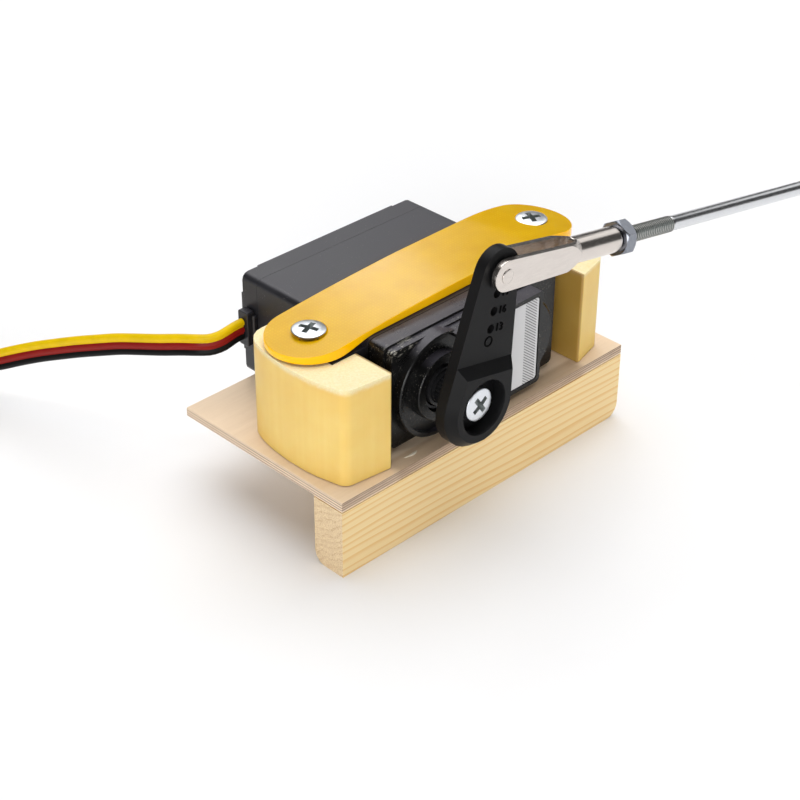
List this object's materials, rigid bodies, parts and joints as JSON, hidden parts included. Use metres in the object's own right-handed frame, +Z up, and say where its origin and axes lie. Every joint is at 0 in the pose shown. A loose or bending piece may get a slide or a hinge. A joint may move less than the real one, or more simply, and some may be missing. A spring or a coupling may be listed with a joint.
{
  "type": "servo motor",
  "caption": "Hobby servo clamped on its side in a small wooden mount by resin blocks and a strap, with its arm, clevis, pushrod and ribbon lead.",
  "frame": {"origin": "centre of the wooden rail's underside, below the board's front edge", "axes": "+X along the board to the right seen from the output side, +Y from the output side to the rear, +Z up"},
  "size_m": [0.1822, 0.1373, 0.0506],
  "materials": {
    "plywood": "bare birch plywood",
    "pine": "planed pine, unfinished",
    "resin": "satin cast resin",
    "glass_fibre": "amber glass-fibre laminate, satin",
    "zinc": "bright zinc plate",
    "nickel": "nickel plate",
    "steel": "drawn steel",
    "case_plastic": "satin moulded",
    "arm_plastic": "matt moulded",
    "gear_nylon": "moulded",
    "brass": "machined",
    "magnet": "sintered",
    "board_green": "solder mask",
    "chip_epoxy": "moulded",
    "lead_pvc": "soft pvc",
    "tie_nylon": "moulded"
  },
  "bodies": {
    "mount_and_case": {"base_board": "plywood", "bearer_rail": "pine", "left_block": "resin", "right_block": "resin", "clamp_strap": "glass_fibre", "strap_screw_left": "zinc", "strap_screw_right": "zinc", "gear_case": "case_plastic", "middle_case": "case_plastic", "bottom_cover": "case_plastic", "case_screw_1": "steel", "case_screw_2": "steel", "case_screw_3": "steel", "case_screw_4": "steel", "motor_can": "steel", "motor_end_bell": "case_plastic", "motor_magnet_upper": "magnet", "motor_magnet_lower": "magnet", "gear_pin_a": "steel", "gear_pin_b": "steel", "bearing_outer_race": "steel", "sensor_cup": "case_plastic", "sensor_track": "brass", "circuit_board": "board_green", "control_chip": "chip_epoxy", "driver_chip_upper": "chip_epoxy", "driver_chip_lower": "chip_epoxy", "smoothing_capacitor": "magnet", "strain_relief": "case_plastic", "servo_lead": "lead_pvc", "lead_coil": "lead_pvc", "lead_tie": "tie_nylon", "plug_housing": "case_plastic", "plug_contact_lower": "brass", "plug_contact_middle": "brass", "plug_contact_upper": "brass"},
    "output": {"output_gear": "gear_nylon", "servo_arm": "arm_plastic", "arm_screw": "zinc", "bearing_inner_race": "steel", "sensor_wiper": "brass"},
    "linkage": {"clevis": "nickel", "clevis_pin": "nickel", "lock_nut": "zinc", "pushrod": "steel"},
    "third_gear": {"third_gear": "gear_nylon"},
    "second_gear": {"second_gear": "gear_nylon"},
    "first_gear": {"first_gear": "gear_nylon"},
    "rotor": {"motor_rotor": "steel", "motor_pinion": "brass"},
    "bearing_cage": {"bearing_cage": "steel"}
  },
  "joints": [
    {"name": "output_turn", "type": "hinge", "parent": "mount_and_case", "child": "output", "pos_m": [-0.00933, 0, 0.02446], "axis": [0, 1, 0], "range_deg": [-101.6, 78.4]},
    {"name": "clevis_swing", "type": "hinge", "parent": "output", "child": "linkage", "pos_m": [-0.00483, -0.00747, 0.0464], "axis": [0, 1, 0], "range_deg": [-225, 48]},
    {"name": "third_gear_turn", "type": "hinge", "parent": "mount_and_case", "child": "third_gear", "pos_m": [0.00092, 0, 0.02446], "axis": [0, 1, 0], "range_deg": [-250, 320]},
    {"name": "second_gear_turn", "type": "hinge", "parent": "mount_and_case", "child": "second_gear", "pos_m": [0.01052, 0, 0.02446], "axis": [0, 1, 0], "range_deg": [-1200, 930]},
    {"name": "first_gear_turn", "type": "hinge", "parent": "mount_and_case", "child": "first_gear", "pos_m": [0.00092, 0, 0.02446], "axis": [0, 1, 0], "range_deg": [-3520, 4560]},
    {"name": "rotor_turn", "type": "hinge", "parent": "mount_and_case", "child": "rotor", "pos_m": [0.01052, 0, 0.02446], "axis": [0, 1, 0], "range_deg": [-17300, 13350]},
    {"name": "cage_turn", "type": "hinge", "parent": "mount_and_case", "child": "bearing_cage", "pos_m": [-0.00933, 0, 0.02446], "axis": [0, 1, 0], "range_deg": [-45, 35]}
  ],
  "couplings": [
    {"joint": "third_gear_turn", "follows": "output_turn", "ratio": -3.1},
    {"joint": "second_gear_turn", "follows": "output_turn", "ratio": 11.78},
    {"joint": "first_gear_turn", "follows": "output_turn", "ratio": -44.764},
    {"joint": "rotor_turn", "follows": "output_turn", "ratio": 170.1},
    {"joint": "cage_turn", "follows": "output_turn", "ratio": 0.435}
  ]
}
